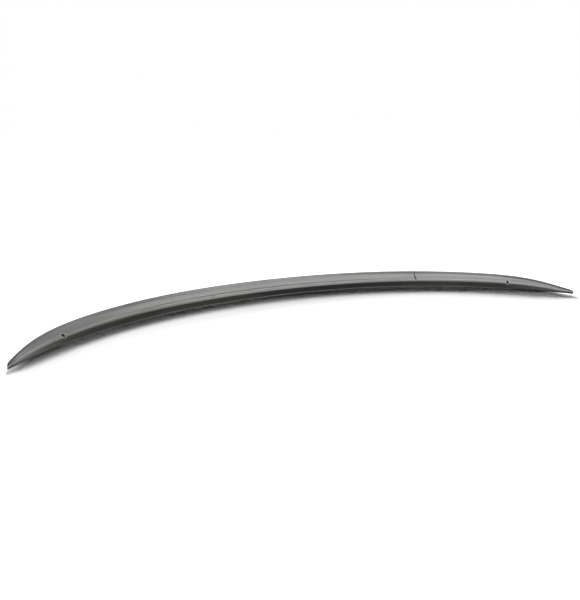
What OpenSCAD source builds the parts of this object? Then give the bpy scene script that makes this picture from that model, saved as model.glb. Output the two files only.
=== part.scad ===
// Boot-lid lip spoiler, one solid moulding that is bonded and screwed to the trailing edge of the lid.
// X runs across the car, +Y points rearwards and +Z up. The origin lies on the car's centre line,
// in the flat bonding face, midway between its front and rear edges.

/* [Plan] */
// Distance from the centre line to each tip
half_span = 600; // [450:10:700]
// How far the tips sweep forward by the square of the distance from the centre line
sweep_square = 170; // [60:5:220]
// How far they sweep forward by its fourth power, which bends the ends more
sweep_fourth = 90; // [0:5:120]

/* [Front of the section] */
// Depth from the front edge to the ridge, where the ramp starts
ridge_setback = 15; // [13:0.5:18]
// Height of the ridge above the bonding face
ridge_height = 16.8; // [15:0.2:19]
// Depth over which the ridge is rounded
ridge_round = 1; // [0.5:0.25:1.5]
// Depth from the front edge to the top of the steep front face
face_setback = 6; // [5:0.25:7]
// Height of the top of that face
face_height = 9.3; // [7:0.25:10.5]
// Depth that the face runs on for before it rounds over to the ridge
face_round_run = 1.7; // [1:0.1:2.5]
// Height that it runs on for
face_round_rise = 3.7; // [2.5:0.1:4.2]
// Depth of the hollow at the foot of the face
foot_curve_run = 0.6; // [0.4:0.1:1.6]
// Height of that hollow
foot_curve_rise = 0.8; // [0.5:0.1:1.8]

/* [Ramp and crest of the section] */
// Depth from the front edge to the crest
crest_setback = 43; // [36:1:70]
// Height of the crest above the bonding face
crest_height = 29.5; // [26:0.5:50]
// Thickness of the crest
crest_t = 2.6; // [1.6:0.2:5]
// Height of the kick that turns the ramp up into the crest
kick_height = 4.5; // [2:0.5:7]
// Depth over which the ramp turns up
kick_run = 4.5; // [3:0.5:8]
// Sag of the ramp below a straight line from the ridge to the kick
ramp_sag = 0.3; // [0:0.1:2]
// How far the rear face is hollowed forward of the crest
rear_hollow = 4; // [0:0.5:8]

/* [Rims] */
// Thickness of the thin rims that run along the front and rear edges
rim_t = 1.6; // [1:0.1:2.4]
// Width of the front rim
front_rim_w = 2; // [1:0.25:3]
// Width left of it past the place where it ends
rim_left = 0.8; // [0.6:0.1:1.2]
// Place where it ends, as a share of the half span, and the front face runs on down to the edge
rim_end = 0.838; // [0.78:0.002:0.9]
// Share of the half span over which it runs out
rim_runout = 0.014; // [0.004:0.002:0.06]
// Width of the rear rim, which the rear face runs down to
rear_rim_w = 4.5; // [2:0.5:9]

/* [Tips] */
// Height left at each tip
tip_height = 8.3; // [4:0.1:12]
// Depth left at each tip, as a share of the full depth
tip_depth = 0.0525; // [0.04:0.0025:0.12]
// Power of the law that narrows the lip towards its tips
narrowing_power = 2.365; // [1.5:0.005:6]
// Exponent of that law, where a lower value makes a blunter tip
narrowing_bluntness = 0.4624; // [0.25:0.0002:0.7]
// Power of the law that lowers the lip towards its tips, where a higher value keeps it full for longer
lowering_power = 15.46; // [4:0.02:20]
// Exponent of that law
lowering_fall = 1.946; // [1:0.002:3]
// How far the tips curl up off the ground
tip_lift = 3.5; // [0:0.5:12]
// Share of the half span over which the bonding face stays flat
flat_share = 0.62; // [0.55:0.01:0.8]
// How far the ridge moves back towards the tips
ridge_drift = 8; // [0:0.5:12]
// Share of the half span where it starts to do so
drift_share = 0.8; // [0.7:0.01:0.9]

/* [Screw holes] */
// Diameter of the screw hole near each tip
hole_d = 5; // [3:0.5:6]
// Place of the hole, as a share of the half span
hole_place = 0.828; // [0.7:0.002:0.85]
// Depth from the front edge to the hole, square to that edge
hole_setback = 9.75; // [8:0.25:12]

/* [Smoothness] */
// Sections from the centre line to each tip
side_sections = 46; // [20:2:50]
// Straight pieces in each curved stretch of the section
curve_pieces = 5; // [3:1:6]

/* [Hidden] */
$fn = 48;
lip_color = [0.45, 0.45, 0.43];
crest_end = crest_setback + crest_t;
base_depth = crest_end + rear_rim_w;
// The sections crowd towards the tips by this power, so that the blunt end stays round
crowding = 2.2;

// Share of the half span at section i, from -1 at one tip to 1 at the other
function share(i) = let (s = abs(i) / side_sections) sign(i) * (1 - pow(1 - s, crowding));

// How far past a start a value has come on its way to an end, from 0 to 1
function progress(v, start, end) = min(max((v - start) / (end - start), 0), 1);

// Distance of the front edge ahead of its middle, and how fast it grows across the car
function sweep(u) = sweep_square * pow(u, 2) + sweep_fourth * pow(u, 4);
function sweep_slope(u) = (2 * sweep_square * u + 4 * sweep_fourth * pow(u, 3)) / half_span;

// Unit vector square to the front edge in plan, pointing rearwards
function edge_normal(u) = [sweep_slope(u), 1] / norm([sweep_slope(u), 1]);

// Laws for the depth and the height, both 1 at the centre line and small at the tips
function depth_law(u) =
    max(pow(max(1 - pow(abs(u), narrowing_power), 0), narrowing_bluntness), tip_depth);
function height_law(u) =
    (tip_height - rim_t + (crest_height - tip_height) * pow(1 - pow(abs(u), lowering_power), lowering_fall))
    / (crest_height - rim_t);

// Height of the bonding face, which curls up past the flat middle
function base_lift(u) = tip_lift * pow(progress(abs(u), flat_share, 1), 2);

// Depth of the ridge in the section at share u
function ridge_place(u) = ridge_setback + ridge_drift * progress(abs(u), drift_share, 1);

// Width of the front rim in the section at share u
function rim_place(u) =
    front_rim_w + (rim_left - front_rim_w) * progress(abs(u), rim_end, rim_end + rim_runout);

// Depth that a depth p of the middle section has at share u, past the rim's end and with the ridge's drift
function moved_depth(u, p) =
    let (ridge = ridge_place(u), drawn = ridge / ridge_setback)
    p < front_rim_w ? p * rim_place(u) / front_rim_w
    : p < face_setback ? rim_place(u)
        + (p - front_rim_w) * (face_setback * drawn - rim_place(u)) / (face_setback - front_rim_w)
    : p < ridge_setback ? p * drawn
    : p < crest_end ? ridge + (p - ridge_setback) * (crest_end - ridge) / (crest_end - ridge_setback)
    : p;

// Quadratic curve from a to c that leaves and arrives along the lines to b, without its first point
function curve(a, b, c) = [
    for (k = [1 : curve_pieces])
        let (s = k / curve_pieces)
        pow(1 - s, 2) * a + 2 * s * (1 - s) * b + pow(s, 2) * c
];

// Corner points of the section on the centre line, as depth and height
front_foot = [front_rim_w, rim_t];
face_top = [face_setback, face_height];
ramp_start = [ridge_setback, ridge_height];
ridge_foot = ramp_start - [ridge_round, ridge_round * 0.5];
ramp_end = [crest_setback - kick_run, crest_height - kick_height];
crest_front = [crest_setback, crest_height - crest_t * 0.3];
crest_rear = [crest_end, crest_height - crest_t * 0.5];
rear_foot = [crest_end, rim_t];

// Handles of the curves between them
foot_handle = front_foot + [foot_curve_run, foot_curve_rise];
face_handle = face_top + [face_round_run, face_round_rise];
ridge_handle = ramp_start - [ridge_round * 0.4, ridge_round * 0.12];
ramp_handle = (ramp_start + ramp_end) / 2 - [0, 2 * ramp_sag];
kick_handle = [crest_setback - kick_run * 0.15, crest_height - kick_height * 0.73];
crest_handle = [crest_setback + crest_t * 0.6, crest_height + crest_t * 0.5];
rear_handle = [crest_end - 2 * rear_hollow, crest_height * 0.35];

// Outline of the section on the centre line, from the front edge over the top to the rear edge
section = concat(
    [[0, 0], [0, rim_t], front_foot],
    curve(front_foot, foot_handle, face_top),
    curve(face_top, face_handle, ridge_foot),
    curve(ridge_foot, ridge_handle, ramp_start),
    curve(ramp_start, ramp_handle, ramp_end),
    curve(ramp_end, kick_handle, crest_front),
    curve(crest_front, crest_handle, crest_rear),
    curve(crest_rear, rear_handle, rear_foot),
    [[base_depth, rim_t], [base_depth, 0]]
);

// A section point at share u, where the rims keep their thickness and the rest follows the two laws
function placed(u, p) =
    let (
        narrow = depth_law(u),
        rear = max(p[0] - crest_end, 0),
        d = (moved_depth(u, p[0]) - rear) * narrow + rear * sqrt(narrow),
        h = p[1] <= rim_t ? p[1] : rim_t + (p[1] - rim_t) * height_law(u),
        n = edge_normal(abs(u))
    )
    [
        half_span * u + sign(u) * n[0] * d,
        n[1] * d - sweep(u) - base_depth / 2,
        base_lift(u) + h
    ];

// The lip before it is drilled: one closed skin over all the sections
module lip_body() {
    ring = len(section);
    rings = 2 * side_sections + 1;
    points = [
        for (i = [-side_sections : side_sections])
            for (p = section) placed(share(i), p)
    ];
    walls = [
        for (i = [0 : rings - 2])
            for (j = [0 : ring - 1])
                let (a = i * ring + j, b = i * ring + (j + 1) % ring)
                each [[a, b, b + ring], [a, b + ring, a + ring]]
    ];
    left_end = [for (j = [ring - 1 : -1 : 0]) j];
    right_end = [for (j = [0 : ring - 1]) (rings - 1) * ring + j];
    polyhedron(points = points, faces = concat(walls, [left_end, right_end]), convexity = 4);
}

// Through hole at share u, taken square to the bonding face
module screw_hole(u) {
    n = edge_normal(abs(u));
    translate([
        half_span * u + sign(u) * n[0] * hole_setback,
        n[1] * hole_setback - sweep(u) - base_depth / 2,
        -crest_height
    ])
        cylinder(d = hole_d, h = 3 * crest_height);
}

module spoiler_lip() {
    color(lip_color)
    difference() {
        lip_body();
        for (side = [-1, 1])
            screw_hole(side * hole_place);
    }
}

spoiler_lip();
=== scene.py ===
# Boot-lid lip spoiler: one dark satin moulding that lies on a pale studio floor
import math

import bmesh
import bpy
from mathutils import Matrix, Vector


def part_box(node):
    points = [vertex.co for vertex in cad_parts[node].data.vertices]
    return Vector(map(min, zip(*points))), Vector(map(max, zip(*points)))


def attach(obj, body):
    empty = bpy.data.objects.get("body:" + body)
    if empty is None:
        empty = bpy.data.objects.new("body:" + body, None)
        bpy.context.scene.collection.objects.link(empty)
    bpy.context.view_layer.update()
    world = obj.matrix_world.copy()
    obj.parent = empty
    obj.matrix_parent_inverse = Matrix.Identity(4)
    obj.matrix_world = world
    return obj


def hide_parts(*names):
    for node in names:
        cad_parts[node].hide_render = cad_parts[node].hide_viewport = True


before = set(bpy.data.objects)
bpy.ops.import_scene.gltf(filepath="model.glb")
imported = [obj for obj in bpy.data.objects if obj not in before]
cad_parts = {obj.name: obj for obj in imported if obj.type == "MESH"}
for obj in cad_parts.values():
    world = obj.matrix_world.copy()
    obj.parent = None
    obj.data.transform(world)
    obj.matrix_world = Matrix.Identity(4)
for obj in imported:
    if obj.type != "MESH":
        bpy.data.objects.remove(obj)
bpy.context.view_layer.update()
cadLow, cadHigh = (Vector(corner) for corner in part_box("spoiler_lip"))
print("frame loaded, lip measures", [round(v, 4) for v in cadHigh - cadLow])

mm = 0.001

# What a user would change about the lip, in millimetres. Its section is drawn on the centre line, where a
# point has a depth from the front edge and a height, and a share says how far along the half span it lies
lip = {
    "halfSpan": 599.96,            # a hair under 600, so that the fine curve stays inside the frame's box
    "sweepSquare": 170,            # how far the tips sweep forward, by the square of the share
    "sweepFourth": 90,             # and by its fourth power
    "crestSetback": 43,
    "crestHeight": 29.5,
    "crestThick": 2.6,
    "ridgeSetback": 15,            # the ridge, where the ramp starts
    "ridgeHeight": 16.8,
    "faceSetback": 6,              # top of the steep front face, which rounds over to the ridge from there
    "faceHeight": 9.3,
    "footCurve": (0.6, 0.8),       # handle of the small hollow at the foot of that face
    "rimThick": 1.6,
    "frontRim": 2,
    "rimLeft": 0.8,                # what is left of the front rim past its end
    "rimEnd": 0.838,               # share where it ends
    "rimRunout": 0.014,            # and over which it runs out
    "rearRim": 4.5,
    # Stretches of the top from the face to the rear edge of the crest, each as a curve's handle and its end
    "shoulder": ((7.5, 12.6), (10.2, 14.3)),
    "ridgeRoll": ((12.5, 15.6), (15, 16.8)),
    "shelf": ((16, 17.18), (18.2, 17.55)),         # a faint shelf behind the ridge
    "shelfEnd": ((20.4, 17.95), (22.5, 18.9)),
    "ramp": ((28, 21.25), (34.8, 23.7)),
    "kick": ((37.3, 24.6), (39.7, 27.3)),          # where the ramp turns up
    "crest": ((43.5, 31.4), (45.6, 28.2)),
    "kickShare": 0.45,             # the kick keeps its width, up to this share of the ramp
    "kickKeep": 0.35,              # and keeps this share of the height that the rest loses
    "rearHollow": 4,               # how far the rear face is hollowed
    "rearBend": 0.35,              # where the hollow is deepest, as a share of the crest's height
    "tipHeight": 8.3,
    "tipDepth": 0.0525,            # depth left at the tips, as a share
    "narrowing": (2.365, 0.4624),  # power and exponent of the law that narrows the lip
    "lowering": (15.46, 1.946),    # and of the one that lowers it
    "tipLift": 3.5,                # how far the tips curl up
    "flatShare": 0.62,             # share up to which the lip lies flat
    "ridgeDrift": 8,               # how far the ridge moves back towards the tips
    "driftShare": 0.8,             # and where it starts to
    "undercut": (2.2, 3.6),        # past the rim's end the face's foot turns under: how far, from what height
    "undercutRun": 0.03,           # share over which it comes in
    "undercutHold": 0.25,          # power of the narrowing that it follows
    "endRound": (0.986, 0.6),      # where the very ends start to round off, and the height left there
    "footRound": 0.9,              # radius left by the mould along the front rim's foot
    "frontRound": 0.5,             # along its top
    "rearRound": 0.45,             # and on the rear rim
    "stations": 120,               # sections from the middle to each tip
    "crowding": 2,                 # power by which they crowd towards the tips, so that these stay round
    "curvePieces": 10,
    "frontPieces": 5,
    "rearPieces": 3,
    "smoothUpTo": 35,              # degrees between two faces that still shade as one
}
crestEnd = lip["crestSetback"] + lip["crestThick"]
baseDepth = crestEnd + lip["rearRim"]
kickDepth, kickHeight = lip["ramp"][1]      # where the kick starts
frontDepth, frontHeight = lip["kick"][1]    # where the crest does


# Distance of the front edge ahead of its middle
def sweep(u):
    return lip["sweepSquare"] * u**2 + lip["sweepFourth"] * u**4


# Square to the front edge in plan, towards the rear
def edgeNormal(u):
    slope = (2 * lip["sweepSquare"] * u + 4 * lip["sweepFourth"] * u**3) / lip["halfSpan"]
    return Vector((slope, 1)).normalized()


def depthLaw(u):
    power, bluntness = lip["narrowing"]
    return max((1 - abs(u)**power)**bluntness, lip["tipDepth"])


def heightLaw(u):
    power, fall = lip["lowering"]
    full = lip["crestHeight"] - lip["rimThick"]
    left = lip["tipHeight"] - lip["rimThick"]
    return (left + (full - left) * (1 - abs(u)**power)**fall) / full


# How far past a start a value has come on its way to an end, from 0 to 1
def progress(v, start, end):
    return min(max((v - start) / (end - start), 0), 1)


def baseLift(u):
    return lip["tipLift"] * progress(abs(u), lip["flatShare"], 1)**2


# Depth that a depth of the middle section has at share u, before the lip narrows
def movedDepth(u, depth):
    rim, face, ridge = lip["frontRim"], lip["faceSetback"], lip["ridgeSetback"]
    rimNow = rim + (lip["rimLeft"] - rim) * progress(abs(u), lip["rimEnd"], lip["rimEnd"] + lip["rimRunout"])
    ridgeNow = ridge + lip["ridgeDrift"] * progress(abs(u), lip["driftShare"], 1)
    kickNow = crestEnd - min((crestEnd - kickDepth) / depthLaw(u), lip["kickShare"] * (crestEnd - ridgeNow))
    if depth < rim:
        return depth * rimNow / rim
    if depth < face:
        return rimNow + (depth - rim) * (face * ridgeNow / ridge - rimNow) / (face - rim)
    if depth < ridge:
        return depth * ridgeNow / ridge
    if depth < kickDepth:
        return ridgeNow + (depth - ridge) * (kickNow - ridgeNow) / (kickDepth - ridge)
    if depth < crestEnd:
        return kickNow + (depth - kickDepth) * (crestEnd - kickNow) / (crestEnd - kickDepth)
    return depth


# Height at share u of a height on the ramp, the kick or the crest, which lose less of it than the rest
def movedHeight(u, depth, height):
    rim, ridge, top = lip["rimThick"], lip["ridgeHeight"], lip["crestHeight"]
    law = heightLaw(u)
    keep = law + (1 - law) * lip["kickKeep"]
    topNow = rim + (top - rim) * law
    ridgeNow = rim + (ridge - rim) * law
    kickNow = topNow - (top - kickHeight) * keep
    if depth > kickDepth:
        return topNow - (top - height) * keep
    return ridgeNow + (height - ridge) * (kickNow - ridgeNow) / (kickHeight - ridge)


# Place in plan of a point at share u that lies a distance square to the front edge, in millimetres
def inPlan(u, distance):
    n = edgeNormal(abs(u))
    side = math.copysign(1, u) if u else 0
    return Vector((lip["halfSpan"] * u + side * n.x * distance, n.y * distance - sweep(u) - baseDepth / 2, 0))


# Where a point of the middle section comes to lie at share u of the half span, in metres
def placed(u, depth, height):
    rim = lip["rimThick"]
    narrow = depthLaw(u)
    rear = max(depth - crestEnd, 0)
    d = (movedDepth(u, depth) - rear) * narrow + rear * math.sqrt(narrow)
    h = height
    onRearFace = depth > frontDepth and height < frontHeight
    if depth > lip["ridgeSetback"] and not onRearFace and not rear:
        h = movedHeight(u, depth, height)
    elif height > rim:
        h = rim + (height - rim) * heightLaw(u)
    back, upTo = lip["undercut"]
    if depth < lip["ridgeSetback"] and h < upTo:
        grown = progress(abs(u), lip["rimEnd"], lip["rimEnd"] + lip["undercutRun"])
        d += back * narrow**lip["undercutHold"] * (1 - h / upTo) * grown
    start, left = lip["endRound"]
    if abs(u) > start:
        h *= left + (1 - left) * math.sqrt(max(1 - progress(abs(u), start, 1)**2, 0))
    return (inPlan(u, d) + Vector((0, 0, baseLift(u) + h))) * mm


# Points of a quadratic curve from a to c past the handle b, without its first point
def curve(a, b, c, pieces=lip["curvePieces"]):
    points = []
    for k in range(1, pieces + 1):
        s = k / pieces
        points.append((1 - s)**2 * Vector(a) + 2 * s * (1 - s) * Vector(b) + s**2 * Vector(c))
    return points


# The same with its first point, for a rounded corner of a rim
def rounded(a, corner, c, pieces):
    return [Vector(a)] + curve(a, corner, c, pieces)


# The middle section, from the front edge over the top to the rear edge
def sectionOutline():
    rim, foot, front, rear = lip["rimThick"], lip["footRound"], lip["frontRound"], lip["rearRound"]
    frontFoot = Vector((lip["frontRim"], rim))
    points = rounded((foot, 0), (0, 0), (0, foot), lip["frontPieces"])
    points += rounded((0, rim - front), (0, rim), (front, rim), lip["frontPieces"])
    points += [frontFoot]
    points += curve(frontFoot, frontFoot + Vector(lip["footCurve"]), (lip["faceSetback"], lip["faceHeight"]))
    for stretch in ("shoulder", "ridgeRoll", "shelf", "shelfEnd", "ramp", "kick", "crest"):
        handle, end = lip[stretch]
        points += curve(points[-1], handle, end)
    hollow = (crestEnd - 2 * lip["rearHollow"], lip["crestHeight"] * lip["rearBend"])
    points += curve(points[-1], hollow, (crestEnd, rim))
    points += rounded((baseDepth - rear, rim), (baseDepth, rim), (baseDepth, rim - rear), lip["rearPieces"])
    points += rounded((baseDepth, rear), (baseDepth, 0), (baseDepth - rear, 0), lip["rearPieces"])
    return points


# Height of the top of the middle section at a depth
def topHeight(depth):
    outline = sectionOutline()
    for a, b in zip(outline, outline[1:]):
        if a.x <= depth <= b.x and a.y > lip["rimThick"]:
            return a.y + (b.y - a.y) * (depth - a.x) / (b.x - a.x)


# How far round the section each of its points lies, in metres, from the front foot over the top
def sectionWays(outline):
    ways, way = {}, 0
    for p, q in zip(outline, outline[1:] + outline[:1]):
        ways[round(p.x, 2), round(p.y, 2)] = way
        way += (q - p).length * mm
    return ways, way


# The shares at which a section stands
def shares():
    n = lip["stations"]
    half = [1 - (1 - k / n)**lip["crowding"] for k in range(1, n + 1)]
    return [-u for u in reversed(half)] + [0] + half


def newObject(name, bm):
    mesh = bpy.data.meshes.new(name)
    bm.to_mesh(mesh)
    bm.free()
    ob = bpy.data.objects.new(name, mesh)
    bpy.context.scene.collection.objects.link(ob)
    return ob


# The map lays the skin out flat in metres: U runs along the lip and V round the section
def mapSkin(bm, outline):
    ways, whole = sectionWays(outline)
    flat = bm.loops.layers.uv.new("flat")
    for face in bm.faces:
        spots = []
        for loop in face.loops:
            share, depth, height = loop.vert.co
            spots.append((share * lip["halfSpan"] * mm, ways[round(depth, 2), round(height, 2)]))
        high = max(v for u, v in spots)
        for loop, (u, v) in zip(face.loops, spots):
            loop[flat].uv = (u, v + whole if high - v > whole / 2 else v)    # closes the seam


# A straight bar is drawn out of the section first, with the share as its X, and is then laid along the car
def makeLip():
    bm = bmesh.new()
    outline = sectionOutline()
    ring = [bm.verts.new((-1, p.x, p.y)) for p in outline]
    edges = [bm.edges.new((ring[k - 1], ring[k])) for k in range(len(ring))]
    along = shares()
    for u, nextU in zip(along, along[1:]):
        grown = bmesh.ops.extrude_edge_only(bm, edges=edges)["geom"]
        verts = [g for g in grown if isinstance(g, bmesh.types.BMVert)]
        edges = [g for g in grown if isinstance(g, bmesh.types.BMEdge)]
        bmesh.ops.translate(bm, verts=verts, vec=(nextU - u, 0, 0))
    bmesh.ops.holes_fill(bm, edges=bm.edges[:], sides=0)
    mapSkin(bm, outline)
    for v in bm.verts:
        v.co = placed(max(-1, min(1, v.co.x)), v.co.y, v.co.z)
    bmesh.ops.recalc_face_normals(bm, faces=bm.faces[:])
    return newObject("lip", bm)


def cut(ob, cutter):
    mod = ob.modifiers.new("cut", "BOOLEAN")
    mod.operation = "DIFFERENCE"
    mod.solver = "EXACT"
    mod.object = cutter
    baked = bpy.data.meshes.new_from_object(ob.evaluated_get(bpy.context.evaluated_depsgraph_get()))
    ob.modifiers.clear()
    ob.data = baked
    bpy.data.objects.remove(cutter)


lipPiece = makeLip()
print("lip body made,", len(lipPiece.data.polygons), "faces")

# One screw hole near each tip, in millimetres
holes = {
    "share": 0.828,
    "setback": 9.75,
    "diameter": 5,
    "reach": (-20, 60),          # heights from and to which the bore is cut
    "mouth": 3.1,                # radius of the worn mouth at the skin
    "mouthLonger": 1.25,         # how many times as long it is as wide
    "mouthReach": (-3, 6),       # heights from and to which it is cut, from the skin
    "mouthFlare": (0.75, 1.5),   # and its radius at them, as shares
    "sides": 48,
}
acrossEdge = edgeNormal(holes["share"])
holeTurn = math.atan2(acrossEdge.x, acrossEdge.y)
holeTop = placed(holes["share"], lip["ridgeSetback"], lip["ridgeHeight"]).z / mm


# A round cutter between two heights with a radius at each, in mm, which can be drawn out and turned
def addCutter(bm, place, low, high, lowRadius, highRadius, longer=1, turn=0):
    made = bmesh.ops.create_cone(bm, cap_ends=True, segments=holes["sides"], radius1=lowRadius * mm,
                                 radius2=highRadius * mm, depth=(high - low) * mm)["verts"]
    bmesh.ops.scale(bm, verts=made, vec=(1, longer, 1))
    bmesh.ops.rotate(bm, verts=made, matrix=Matrix.Rotation(turn, 3, "Z"))
    bmesh.ops.translate(bm, verts=made, vec=(place.x, place.y, (low + high) / 2 * mm))


bores, mouths = bmesh.new(), bmesh.new()
for side in (-1, 1):
    place = inPlan(side * holes["share"], holes["setback"]) * mm
    low, high = holes["reach"]
    addCutter(bores, place, low, high, holes["diameter"] / 2, holes["diameter"] / 2)
    low, high = (holeTop + height for height in holes["mouthReach"])
    lowRadius, highRadius = (holes["mouth"] * share for share in holes["mouthFlare"])
    addCutter(mouths, place, low, high, lowRadius, highRadius, holes["mouthLonger"], -side * holeTurn)
cut(lipPiece, newObject("bores", bores))
cut(lipPiece, newObject("mouths", mouths))
print("screw holes cut")

# A crack across the ramp, bowed towards the middle, and small nicks at the ridge, in millimetres
marks = {
    "crackShares": (0.5258, 0.5281),   # at its front end and at the crest, as the other pairs
    "crackDepths": (12.5, 45.2),
    "crackWidths": (3.68, 1.61),
    "crackBow": 2,
    "crackDeep": 4,
    "crackDeepAtCrest": 0.8,
    "crackFade": 6,                    # power by which it gets shallower towards the crest
    "crackTaper": (0.3, 1.2),          # its width at the bottom and just above the skin, as shares
    "crackAbove": 1,
    "crackSteps": 15,
    "nicks": ((-0.283, 13.5, 2.6, 1.1), (0.458, 17, 2.2, 1.0)),   # share, depth, radius and how deep it cuts
    "nickLean": (0, -0.5, 0.85),       # which way they open
}


# A thin wedge that follows the skin
def crackCutter():
    bm = bmesh.new()
    bmesh.ops.create_cube(bm, size=1)
    along = [e for e in bm.edges if abs(e.verts[0].co.y - e.verts[1].co.y) > 0.5]
    bmesh.ops.subdivide_edges(bm, edges=along, cuts=marks["crackSteps"], use_grid_fill=True)
    for v in bm.verts:
        way = v.co.y + 0.5
        share, depth, width = (start + (end - start) * way for start, end in
                               (marks["crackShares"], marks["crackDepths"], marks["crackWidths"]))
        share -= marks["crackBow"] * 4 * way * (1 - way) / lip["halfSpan"]
        spot = placed(share, depth, topHeight(depth))
        deep = marks["crackDeep"] + (marks["crackDeepAtCrest"] - marks["crackDeep"]) * way**marks["crackFade"]
        foot, top = marks["crackTaper"]
        if v.co.z > 0:
            v.co = spot + Vector((v.co.x * width * top, 0, marks["crackAbove"])) * mm
        else:
            v.co = spot + Vector((v.co.x * width * foot, 0, -deep)) * mm
    bmesh.ops.recalc_face_normals(bm, faces=bm.faces[:])
    return newObject("crackWedge", bm)


def nickCutter():
    bm = bmesh.new()
    for share, depth, radius, deep in marks["nicks"]:
        made = bmesh.ops.create_icosphere(bm, subdivisions=3, radius=radius * mm)["verts"]
        spot = placed(share, depth, topHeight(depth))
        bmesh.ops.translate(bm, verts=made, vec=spot + Vector(marks["nickLean"]) * (radius - deep) * mm)
    return newObject("nickBalls", bm)


cut(lipPiece, crackCutter())
cut(lipPiece, nickCutter())
lipPiece.data.shade_smooth()
lipPiece.data.set_sharp_from_angle(angle=math.radians(lip["smoothUpTo"]))
print("crack and nicks cut,", len(lipPiece.data.polygons), "faces")


# Colours are written as sRGB hex and turned to linear here
def linear(hexColour):
    out = []
    for k in (0, 2, 4):
        c = int(hexColour[k:k + 2], 16) / 255
        out.append(c / 12.92 if c <= 0.04045 else ((c + 0.055) / 1.055)**2.4)
    return (*out, 1)


# Settings are the node's own, and each input is a socket to link or a plain value
def addNode(tree, kind, settings=None, inputs=None):
    node = tree.nodes.new("ShaderNode" + kind)
    for key, value in (settings or {}).items():
        setattr(node, key, value)
    for key, value in (inputs or {}).items():
        if isinstance(value, bpy.types.NodeSocket):
            tree.links.new(value, node.inputs[key])
        else:
            node.inputs[key].default_value = value
    return node


def newMaterial(name):
    material = bpy.data.materials.new(name)
    material.use_nodes = True
    material.node_tree.nodes.clear()
    return material


# The lip's surface, with its sizes in millimetres
skin = {
    "colour": "4E4F4B",
    "flowDark": "424245",              # in the streaks that the resin left as it flowed in
    "flowLight": "5B5C54",
    "highlightColour": "A6A6A0",                  # painted highlight: lighter along the ridge, the front rim and round the holes
    # painted shade, dark inside the holes
    "boreShadeColour": "060606",
    # Noises, each as its size, how many times as long it is along the lip, its detail and its shift
    "noises": {
        "flow": (45, 5, 3, 0),
        "stain": (7, 1.6, 4, 3),
        "patch": (30, 3, 2, 7),
        "grain": (1.6, 1, 2, 1),       # the mould's grain of 0.3 mm would not show, so it is drawn coarser
        "swell": (7, 3, 3, 5),
    },
    "noiseRoughness": 0.55,
    # Those that make patches, as the noise where one starts and where it is full, and the most of it
    "patches": {"flow": (0.35, 0.65, 1), "stain": (0.4, 0.68, 1), "patch": (0.3, 0.6, 0.3)},
    "stainShare": 0.45,                # how far a stain hides the streaks
    # Painted highlight lines: how far in front of a corner, half the width in full and in all, and how strong
    # the highlight is
    "ridgeHighlight": (1.2, 1.04, 2.6, 1),
    "rimHighlight": (1, 0.9, 1.1, 0.55),
    # Painted highlight rings round the holes: where one is full and where it ends, from the hole's middle,
    # and how strong
    "ringHighlight": (3.6, 6, 0.5),
    "ringFrom": (5, 8),                # heights between which they start, so that the foot has none
    "boreShadeEdge": 0.2,                   # how softly the painted shade inside a hole ends
    "roughness": (0.3, 0.37),          # of clean and of stained plastic
    "highlightRoughness": 0.25,
    "highlightRoughShare": 0.5,                # how far the painted highlight's roughness goes towards it
    "boreRoughness": 0.8,
    "grainShare": 0.35,                # height of the grain against that of the swell
    "bump": (0.25, 0.07),              # strength and height
}
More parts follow.
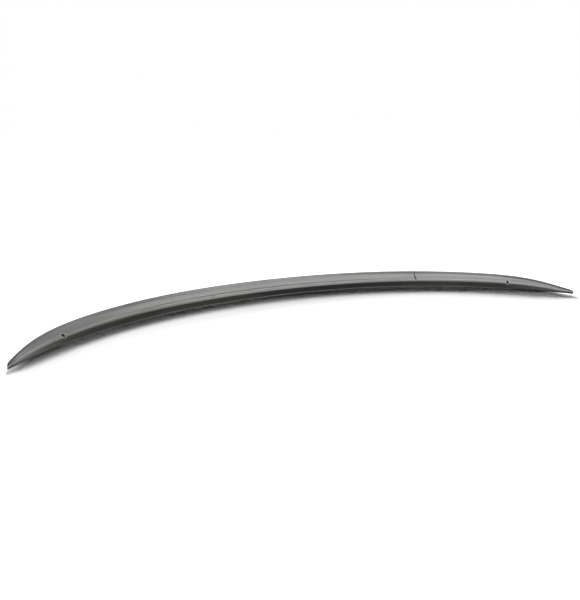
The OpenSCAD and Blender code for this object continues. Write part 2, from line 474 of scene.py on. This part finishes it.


# Polyurethane, moulded in a closed tool and left unpainted: dark and satin, with flow streaks along the part,
# a fine grain from the tool, painted highlights, lighter and glossier, along the ridge, the front rim and
# round the holes, and painted shade inside the holes. Its specular level is set to twice the default, which
# matches the sheen of the real one
def mouldedPolyurethane():
    material = newMaterial("mouldedPolyurethane")
    tree = material.node_tree
    smooth = {"interpolation_type": "SMOOTHSTEP"}
    colours = {"data_type": "RGBA"}    # a Mix node takes its colours at 6 and 7 and gives one at 2
    flat = addNode(tree, "UVMap", {"uv_map": "flat"}).outputs["UV"]
    place = addNode(tree, "TexCoord").outputs["Object"]

    noise = {}
    for name, (size, longer, detail, shift) in skin["noises"].items():
        moved = addNode(tree, "Mapping", None, {"Vector": flat, "Location": (shift, 0, 0),
                                                "Scale": (1 / longer, 1, 1)})
        noise[name] = addNode(tree, "TexNoise", None, {"Vector": moved.outputs[0], "Scale": 1 / (size * mm),
                                                       "Detail": detail,
                                                       "Roughness": skin["noiseRoughness"]}).outputs["Fac"]
    for name, (start, full, most) in skin["patches"].items():
        noise[name] = addNode(tree, "MapRange", smooth, {"Value": noise[name], "From Min": start,
                                                         "From Max": full, "To Max": most}).outputs[0]
    colour = addNode(tree, "Mix", colours, {0: noise["flow"], 6: linear(skin["flowDark"]),
                                            7: linear(skin["flowLight"])}).outputs[2]
    stain = addNode(tree, "Math", {"operation": "MULTIPLY"}, {0: noise["stain"], 1: skin["stainShare"]})
    colour = addNode(tree, "Mix", colours, {0: stain.outputs[0], 6: colour,
                                            7: linear(skin["colour"])}).outputs[2]

    # Painted highlight along the ridge, in patches, and along the front rim
    ways = sectionWays(sectionOutline())[0]
    wayRound = addNode(tree, "SeparateXYZ", None, {0: flat}).outputs["Y"]
    paintedLines = {}
    for name, corner in (("ridgeHighlight", (lip["ridgeSetback"], lip["ridgeHeight"])),
                         ("rimHighlight", (lip["frontRim"], lip["rimThick"]))):
        before, full, end, most = skin[name]
        off = addNode(tree, "Math", {"operation": "SUBTRACT"}, {0: wayRound, 1: ways[corner] - before * mm})
        away = addNode(tree, "Math", {"operation": "ABSOLUTE"}, {0: off.outputs[0]})
        paintedLines[name] = addNode(tree, "MapRange", smooth, {"Value": away.outputs[0], "From Min": end * mm,
                                                          "From Max": full * mm, "To Max": most}).outputs[0]
    ridge = addNode(tree, "Math", {"operation": "MULTIPLY"}, {0: paintedLines["ridgeHighlight"], 1: noise["patch"]})
    lines = addNode(tree, "Math", {"operation": "MAXIMUM"}, {0: ridge.outputs[0], 1: paintedLines["rimHighlight"]})

    # Painted highlight round the holes, and painted shade inside them. Both are measured as one, with the
    # left half folded over to the right and the Y axis turned round
    hole = inPlan(holes["share"], holes["setback"]) * mm
    folded = addNode(tree, "VectorMath", {"operation": "ABSOLUTE"}, {0: place})
    fromHole = addNode(tree, "Mapping", {"vector_type": "TEXTURE"},
                       {"Vector": folded.outputs[0], "Location": (hole.x, -hole.y, 0),
                        "Rotation": (0, 0, holeTurn), "Scale": (1, holes["mouthLonger"], 1)})
    level = addNode(tree, "VectorMath", {"operation": "MULTIPLY"}, {0: fromHole.outputs[0], 1: (1, 1, 0)})
    away = addNode(tree, "VectorMath", {"operation": "LENGTH"}, {0: level.outputs[0]}).outputs["Value"]
    full, end, most = skin["ringHighlight"]
    ring = addNode(tree, "MapRange", smooth, {"Value": away, "From Min": end * mm, "From Max": full * mm,
                                              "To Max": most})
    height = addNode(tree, "SeparateXYZ", None, {0: place}).outputs["Z"]
    start, full = skin["ringFrom"]
    onTop = addNode(tree, "MapRange", smooth, {"Value": height, "From Min": start * mm,
                                               "From Max": full * mm})
    ring = addNode(tree, "Math", {"operation": "MULTIPLY"}, {0: ring.outputs[0], 1: onTop.outputs[0]})
    paintedHighlight = addNode(tree, "Math", {"operation": "MAXIMUM"}, {0: lines.outputs[0],
                                                            1: ring.outputs[0]}).outputs[0]
    # painted shade inside the holes, full within the mouth and fading just outside it
    darkTo = (holes["mouth"] + skin["boreShadeEdge"]) * mm
    boreShade = addNode(tree, "MapRange", smooth, {"Value": away, "From Min": darkTo,
                                              "From Max": holes["mouth"] * mm}).outputs[0]
    # the painted highlight and then the painted shade of the holes are laid over the colour
    colour = addNode(tree, "Mix", colours, {0: paintedHighlight, 6: colour, 7: linear(skin["highlightColour"])}).outputs[2]
    colour = addNode(tree, "Mix", colours, {0: boreShade, 6: colour, 7: linear(skin["boreShadeColour"])}).outputs[2]

    clean, stained = skin["roughness"]
    rough = addNode(tree, "Mix", None, {0: noise["stain"], 2: clean, 3: stained}).outputs[0]
    highlightRough = addNode(tree, "Math", {"operation": "MULTIPLY"}, {0: paintedHighlight, 1: skin["highlightRoughShare"]})
    rough = addNode(tree, "Mix", None, {0: highlightRough.outputs[0], 2: rough,
                                        3: skin["highlightRoughness"]}).outputs[0]
    rough = addNode(tree, "Mix", None, {0: boreShade, 2: rough, 3: skin["boreRoughness"]}).outputs[0]

    relief = addNode(tree, "Math", {"operation": "MULTIPLY_ADD"},
                     {0: noise["grain"], 1: skin["grainShare"], 2: noise["swell"]})
    strength, tall = skin["bump"]
    bump = addNode(tree, "Bump", None, {"Strength": strength, "Distance": tall * mm,
                                        "Height": relief.outputs[0]})
    shader = addNode(tree, "BsdfPrincipled", None,
                     {"Base Color": colour, "Roughness": rough, "Normal": bump.outputs["Normal"], "IOR": 1.5,
                      "Specular IOR Level": 1.0})
    addNode(tree, "OutputMaterial", None, {"Surface": shader.outputs["BSDF"]})
    return material


lipPiece.data.materials.append(mouldedPolyurethane())
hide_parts("spoiler_lip")
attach(lipPiece, "root")
print("lip finished")

# The studio. Azimuths run from straight behind the lip towards its right end
studio = {
    "floorHalf": 8.0,            # metres
    "floorForCamera": 1.5,       # so that the lit floor is white in the picture
    "floorForBounce": 0.36,
    # Lamps that only the lip sees, as azimuth, elevation and strength, and the angle that each spreads over
    "lamps": ((-60, 30, 2.1), (-20, 30, 2.6), (25, 60, 0.44), (20, 70, 0.4), (50, 25, 0.2), (50, 45, 0.18),
              (75, 20, 0.13), (75, 40, 0.3), (20, 80, 0.23), (110, 65, 0.75), (200, 85, 0.16), (200, 70, 0.3),
              (240, 40, 0.13)),
    "lampSpread": 24,
    # Low lamps behind the lip, which only the floor sees, draw its long soft shadow
    "floorLamps": ((-40, 9, 2.2), (-8, 9, 2.0), (8, 9, 1.7), (22, 9, 1.5), (40, 9, 1.3), (80, 9, 0.4),
                   (22, 15, 2.0), (-60, 18, 0.2), (8, 18, 2.5), (22, 18, 0.5), (40, 18, 0.3), (8, 22, 0.4)),
    "floorSpread": 5,
}


# A matt pale sweep of paper, which looks brighter to the camera than it is to the lip
def paleFloor():
    material = newMaterial("paleFloor")
    tree = material.node_tree
    rays = addNode(tree, "LightPath")
    seen = addNode(tree, "Math", {"operation": "MAXIMUM"}, {0: rays.outputs["Is Camera Ray"],
                                                            1: rays.outputs["Is Glossy Ray"]})
    shade = addNode(tree, "MapRange", None, {"Value": seen.outputs[0], "To Min": studio["floorForBounce"],
                                             "To Max": studio["floorForCamera"]})
    paper = addNode(tree, "BsdfDiffuse", None, {"Color": shade.outputs[0]})
    addNode(tree, "OutputMaterial", None, {"Surface": paper.outputs[0]})
    return material


bm = bmesh.new()
bmesh.ops.create_grid(bm, x_segments=1, y_segments=1, size=studio["floorHalf"])
floor = newObject("floor", bm)
floor.data.materials.append(paleFloor())

# The air round it is white to the camera and lights nothing
world = bpy.data.worlds.new("studio")
bpy.context.scene.world = world
world.use_nodes = True
world.node_tree.nodes.clear()
rays = addNode(world.node_tree, "LightPath")
air = addNode(world.node_tree, "Background", None, {"Color": (1, 1, 1, 1),
                                                    "Strength": rays.outputs["Is Camera Ray"]})
addNode(world.node_tree, "OutputWorld", None, {"Surface": air.outputs[0]})


def directionTo(azimuth, elevation):
    a, e = math.radians(azimuth), math.radians(elevation)
    return Vector((math.sin(a) * math.cos(e), math.cos(a) * math.cos(e), math.sin(e)))


# A wide lamp far off, spread over an angle, which lights one piece only
def softLamp(name, azimuth, elevation, spread, strength, piece):
    lamp = bpy.data.lights.new(name, "SUN")
    lamp.angle = math.radians(spread)
    lamp.energy = strength
    ob = bpy.data.objects.new(name, lamp)
    ob.rotation_euler = directionTo(azimuth, elevation).to_track_quat("Z", "Y").to_euler()
    bpy.context.scene.collection.objects.link(ob)
    group = bpy.data.collections.new(name + "Lights")
    group.objects.link(piece)
    ob.light_linking.receiver_collection = group


for k, (azimuth, elevation, strength) in enumerate(studio["lamps"]):
    softLamp(f"lamp{k}", azimuth, elevation, studio["lampSpread"], strength, lipPiece)
for k, (azimuth, elevation, strength) in enumerate(studio["floorLamps"]):
    softLamp(f"strip{k}", azimuth, elevation, studio["floorSpread"], strength, floor)

# The photograph's view, from low in front of the lip and from its left end
view = {
    "azimuth": 202.97,
    "elevation": 15.78,
    "distance": 1.56,
    "aim": (-0.0083, -0.0672, 0),
    "lens": 43.45,
}
lens = bpy.data.cameras.new("photoView")
lens.sensor_fit = "HORIZONTAL"
lens.sensor_width = 36
lens.lens = view["lens"]
lens.clip_start = 0.05
camera = bpy.data.objects.new("photoView", lens)
toCamera = directionTo(view["azimuth"], view["elevation"])
camera.location = Vector(view["aim"]) + toCamera * view["distance"]
camera.rotation_euler = toCamera.to_track_quat("Z", "Y").to_euler()
bpy.context.scene.collection.objects.link(camera)
bpy.context.scene.camera = camera
bpy.context.scene.view_settings.view_transform = "Standard"
print("studio set")
